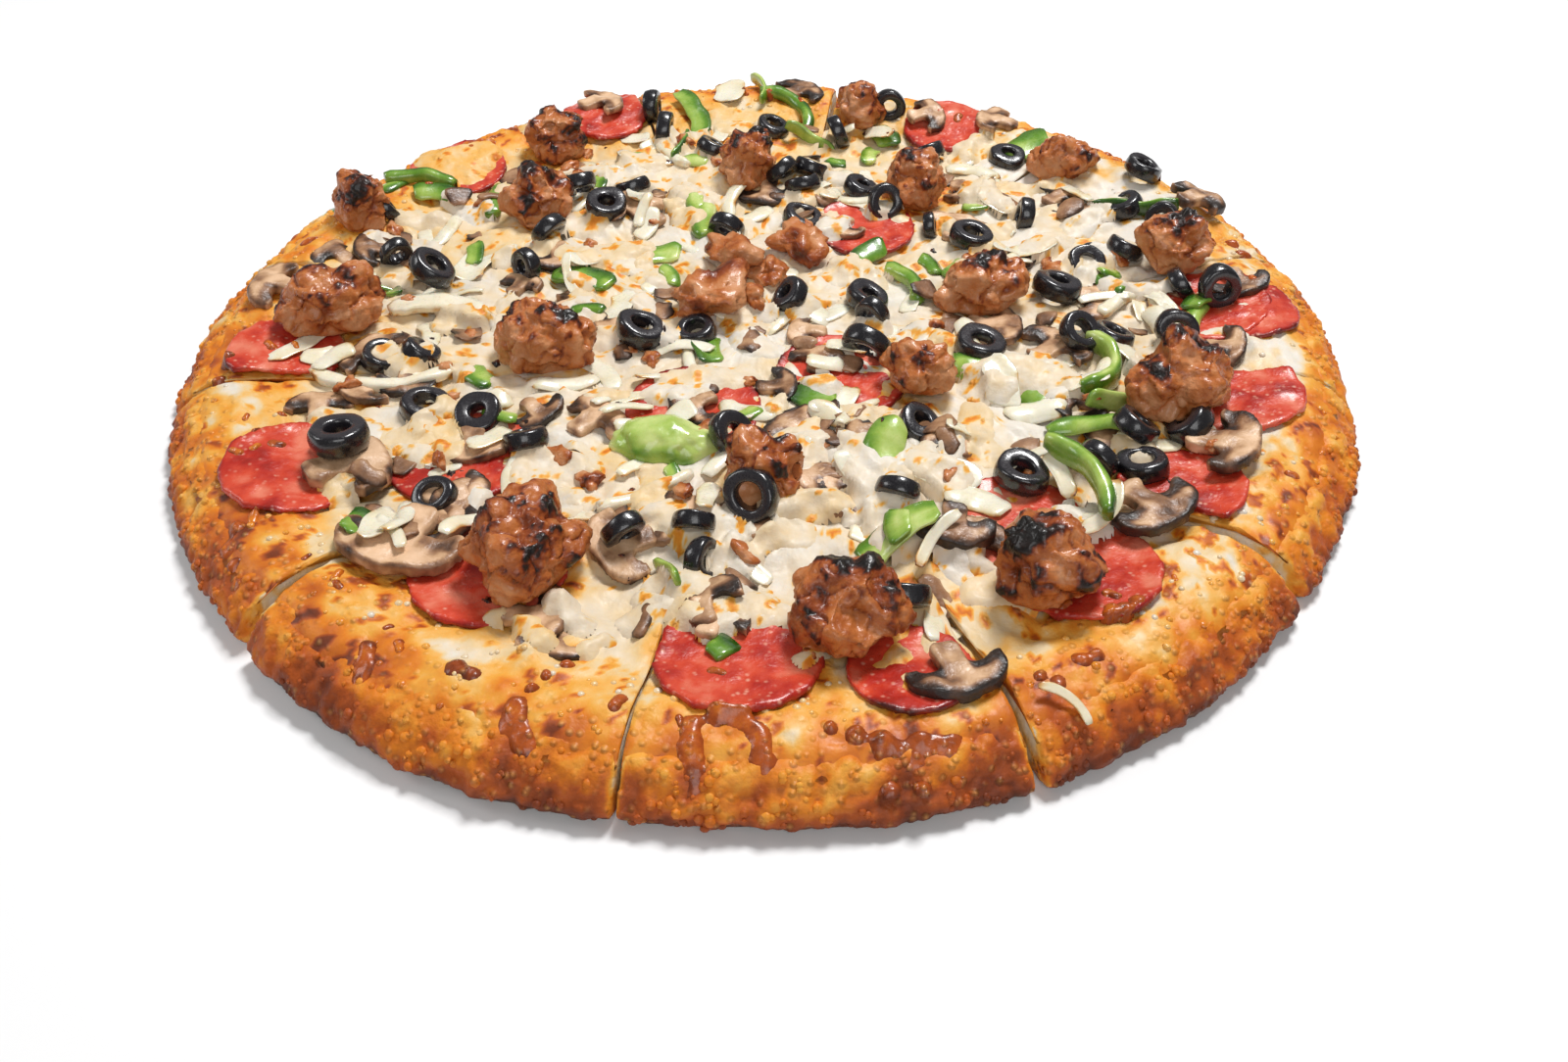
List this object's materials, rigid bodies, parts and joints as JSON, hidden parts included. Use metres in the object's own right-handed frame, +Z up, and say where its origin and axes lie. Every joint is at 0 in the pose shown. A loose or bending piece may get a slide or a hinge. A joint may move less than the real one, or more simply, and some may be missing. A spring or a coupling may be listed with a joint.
{
  "type": "supreme pizza",
  "caption": "Round supreme pizza cut into wedge slices that keep the whole's shape, with sausage, pepperoni, mushroom, olive, green pepper and onion on melted cheese.",
  "frame": {"origin": "middle of the base, where the cuts meet, on the flat underside", "axes": "+Z up out of the toppings, -Y towards the side that the picture is taken from"},
  "size_m": [0.3556, 0.3547, 0.0358],
  "materials": {
    "dough": "baked, matte with a little oil",
    "cheese": "melted, soft gloss",
    "sausage": "browned, oily",
    "pepperoni": "oily satin",
    "mushroom": "moist, soft gloss",
    "olive": "moist, glossy",
    "pepper": "moist, glossy",
    "onion": "moist, glossy"
  },
  "bodies": {
    "root": {"cheese": "cheese", "dough_01": "dough", "dough_02": "dough", "dough_03": "dough", "dough_04": "dough", "dough_05": "dough", "dough_06": "dough", "dough_07": "dough", "dough_08": "dough", "dough_09": "dough", "dough_10": "dough", "dough_11": "dough", "dough_12": "dough", "mushroom_01": "mushroom", "mushroom_02": "mushroom", "mushroom_03": "mushroom", "mushroom_04": "mushroom", "mushroom_05": "mushroom", "mushroom_06": "mushroom", "mushroom_07": "mushroom", "mushroom_08": "mushroom", "mushroom_09": "mushroom", "olive_01": "olive", "olive_02": "olive", "olive_03": "olive", "olive_04": "olive", "olive_05": "olive", "olive_06": "olive", "olive_07": "olive", "olive_08": "olive", "onion_01": "onion", "pepper_01": "pepper", "pepper_02": "pepper", "pepperoni_01": "pepperoni", "pepperoni_02": "pepperoni", "pepperoni_03": "pepperoni", "pepperoni_04": "pepperoni", "pepperoni_05": "pepperoni", "pepperoni_06": "pepperoni", "pepperoni_07": "pepperoni", "pepperoni_08": "pepperoni", "pepperoni_09": "pepperoni", "pepperoni_10": "pepperoni", "sausage_01": "sausage", "sausage_02": "sausage", "sausage_03": "sausage", "sausage_04": "sausage", "sausage_05": "sausage", "sausage_06": "sausage", "sausage_07": "sausage", "sausage_08": "sausage", "sausage_09": "sausage", "sausage_10": "sausage", "sausage_11": "sausage", "sausage_12": "sausage", "sausage_13": "sausage", "sausage_14": "sausage", "sausage_15": "sausage", "sausage_16": "sausage", "sausage_17": "sausage"}
  },
  "joints": []
}
